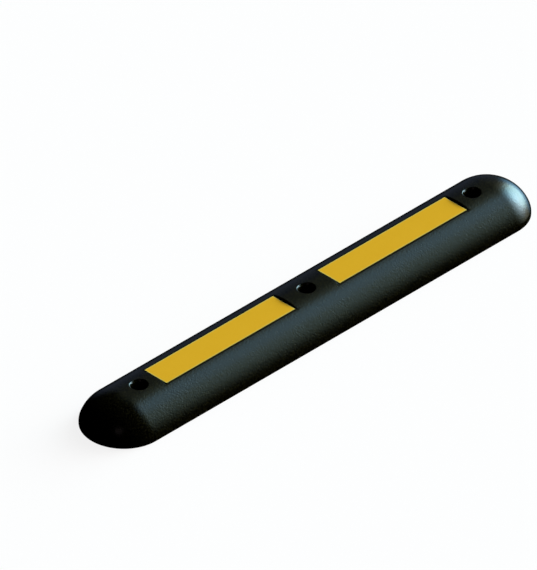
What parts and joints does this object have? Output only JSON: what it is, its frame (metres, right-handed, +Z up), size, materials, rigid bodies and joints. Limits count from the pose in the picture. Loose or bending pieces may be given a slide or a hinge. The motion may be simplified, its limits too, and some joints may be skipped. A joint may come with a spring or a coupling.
{
  "type": "flexible lane divider",
  "caption": "Low black rubber road divider with an arched section, round ends, yellow reflective strips set in its crown and bolt wells for anchoring it to the road surface.",
  "frame": {"origin": "centre of the base, on the surface that the divider stands on", "axes": "+X along the divider, +Y across it, +Z up"},
  "size_m": [0.9998, 0.15, 0.06],
  "materials": {
    "rubber": "fine-grained satin black",
    "reflective_yellow": "retroreflective yellow sheeting",
    "zinc_steel": "zinc-plated steel"
  },
  "bodies": {
    "root": {"rubber_body": "rubber", "reflective_strip_left": "reflective_yellow", "reflective_strip_right": "reflective_yellow", "seat_washer_left": "zinc_steel", "seat_washer_middle": "zinc_steel", "seat_washer_right": "zinc_steel"}
  },
  "joints": []
}
